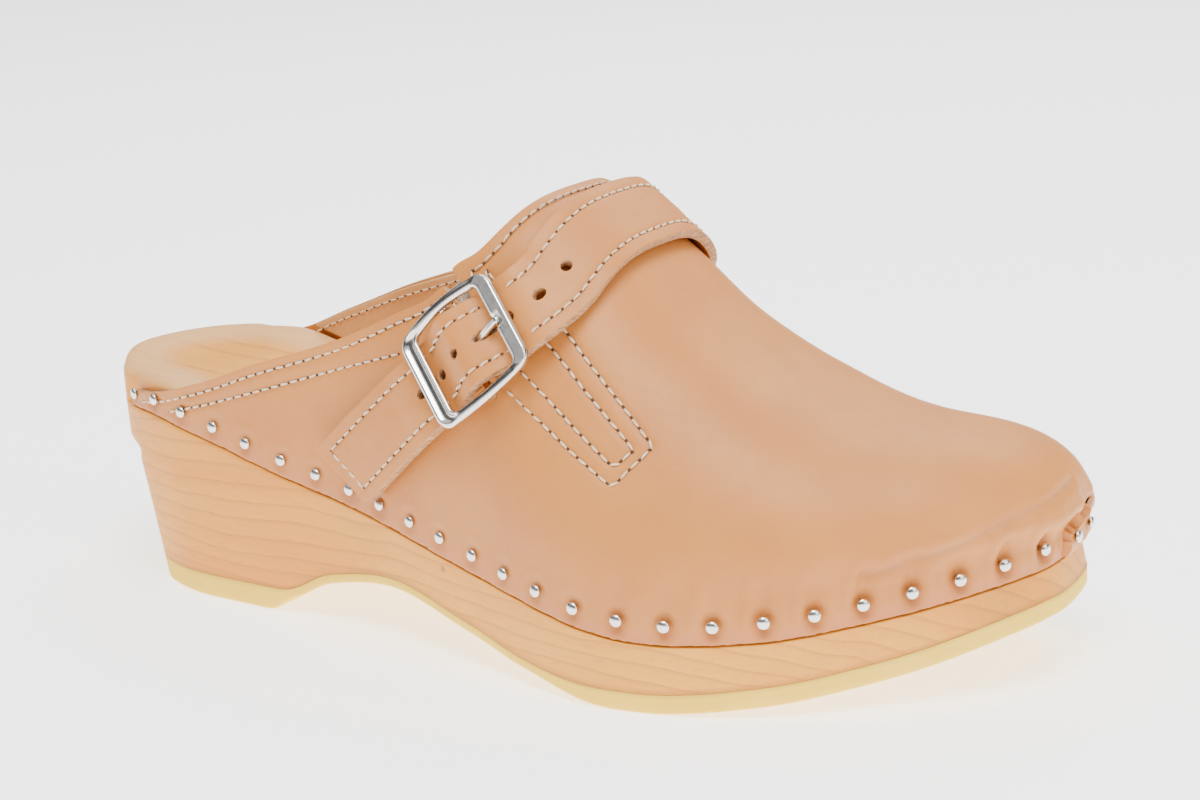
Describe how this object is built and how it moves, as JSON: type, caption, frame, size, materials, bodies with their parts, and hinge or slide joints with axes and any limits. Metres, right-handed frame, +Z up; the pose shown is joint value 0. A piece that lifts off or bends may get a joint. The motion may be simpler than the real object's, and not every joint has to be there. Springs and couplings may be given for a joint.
{
  "type": "wooden clog",
  "caption": "Right-foot clog with a carved wooden sole on rubber, a nailed leather upper with an elastic gore, and a buckled instep strap.",
  "frame": {"origin": "the point on the ground under the centre of the clog's bounding box", "axes": "+X from the heel to the toe, +Y towards the medial (big toe) side, +Z up"},
  "size_m": [0.2752, 0.1039, 0.1103],
  "materials": {
    "wood": "sanded, clear satin, pale alder or birch with fine lengthwise grain",
    "rubber": "matte honey-coloured crepe-like rubber",
    "leather": "smooth natural vegetable-tanned leather, low sheen",
    "lining": "raw pale lining leather",
    "elastic": "cream woven elastic",
    "nickel": "polished nickel plate",
    "steel": "bright round nail heads"
  },
  "bodies": {
    "clog": {"wooden_sole": "wood", "outsole": "rubber", "upper": "leather", "quarter_lining": "lining", "elastic_gore": "elastic", "toe_guard": "leather", "instep_strap": "leather", "buckle_chape": "leather", "nail_lateral_01": "steel", "nail_lateral_02": "steel", "nail_lateral_03": "steel", "nail_lateral_04": "steel", "nail_lateral_05": "steel", "nail_lateral_06": "steel", "nail_lateral_07": "steel", "nail_lateral_08": "steel", "nail_lateral_09": "steel", "nail_lateral_10": "steel", "nail_lateral_11": "steel", "nail_lateral_12": "steel", "nail_lateral_13": "steel", "nail_lateral_14": "steel", "nail_lateral_15": "steel", "nail_lateral_16": "steel", "nail_lateral_17": "steel", "nail_lateral_18": "steel", "nail_lateral_19": "steel", "nail_lateral_20": "steel", "nail_lateral_21": "steel", "nail_lateral_22": "steel", "nail_lateral_23": "steel", "nail_lateral_24": "steel", "nail_lateral_25": "steel", "nail_medial_01": "steel", "nail_medial_02": "steel", "nail_medial_03": "steel", "nail_medial_04": "steel", "nail_medial_05": "steel", "nail_medial_06": "steel", "nail_medial_07": "steel", "nail_medial_08": "steel", "nail_medial_09": "steel", "nail_medial_10": "steel", "nail_medial_11": "steel", "nail_medial_12": "steel", "nail_medial_13": "steel", "nail_medial_14": "steel", "nail_medial_15": "steel", "nail_medial_16": "steel", "nail_medial_17": "steel", "nail_medial_18": "steel", "nail_medial_19": "steel", "nail_medial_20": "steel", "nail_medial_21": "steel", "nail_medial_22": "steel", "nail_medial_23": "steel", "nail_medial_24": "steel"},
    "strap_tail": {"strap_tail": "leather"},
    "buckle": {"buckle_frame": "nickel"},
    "prong": {"buckle_prong": "nickel"}
  },
  "joints": [
    {"name": "strap_tail_lift", "type": "hinge", "parent": "clog", "child": "strap_tail", "pos_m": [-0.00191, -0.04209, 0.06738], "axis": [-0.6575, 0.287, 0.6967], "range_deg": [0, 60]},
    {"name": "buckle_tilt", "type": "hinge", "parent": "clog", "child": "buckle", "pos_m": [0.01034, -0.03789, 0.07728], "axis": [-0.6617, 0.2874, 0.6925], "range_deg": [-1.5, 1.5]},
    {"name": "prong_lift", "type": "hinge", "parent": "buckle", "child": "prong", "pos_m": [0.01034, -0.03789, 0.07728], "axis": [0.6617, -0.2874, -0.6925], "range_deg": [0, 6]}
  ]
}
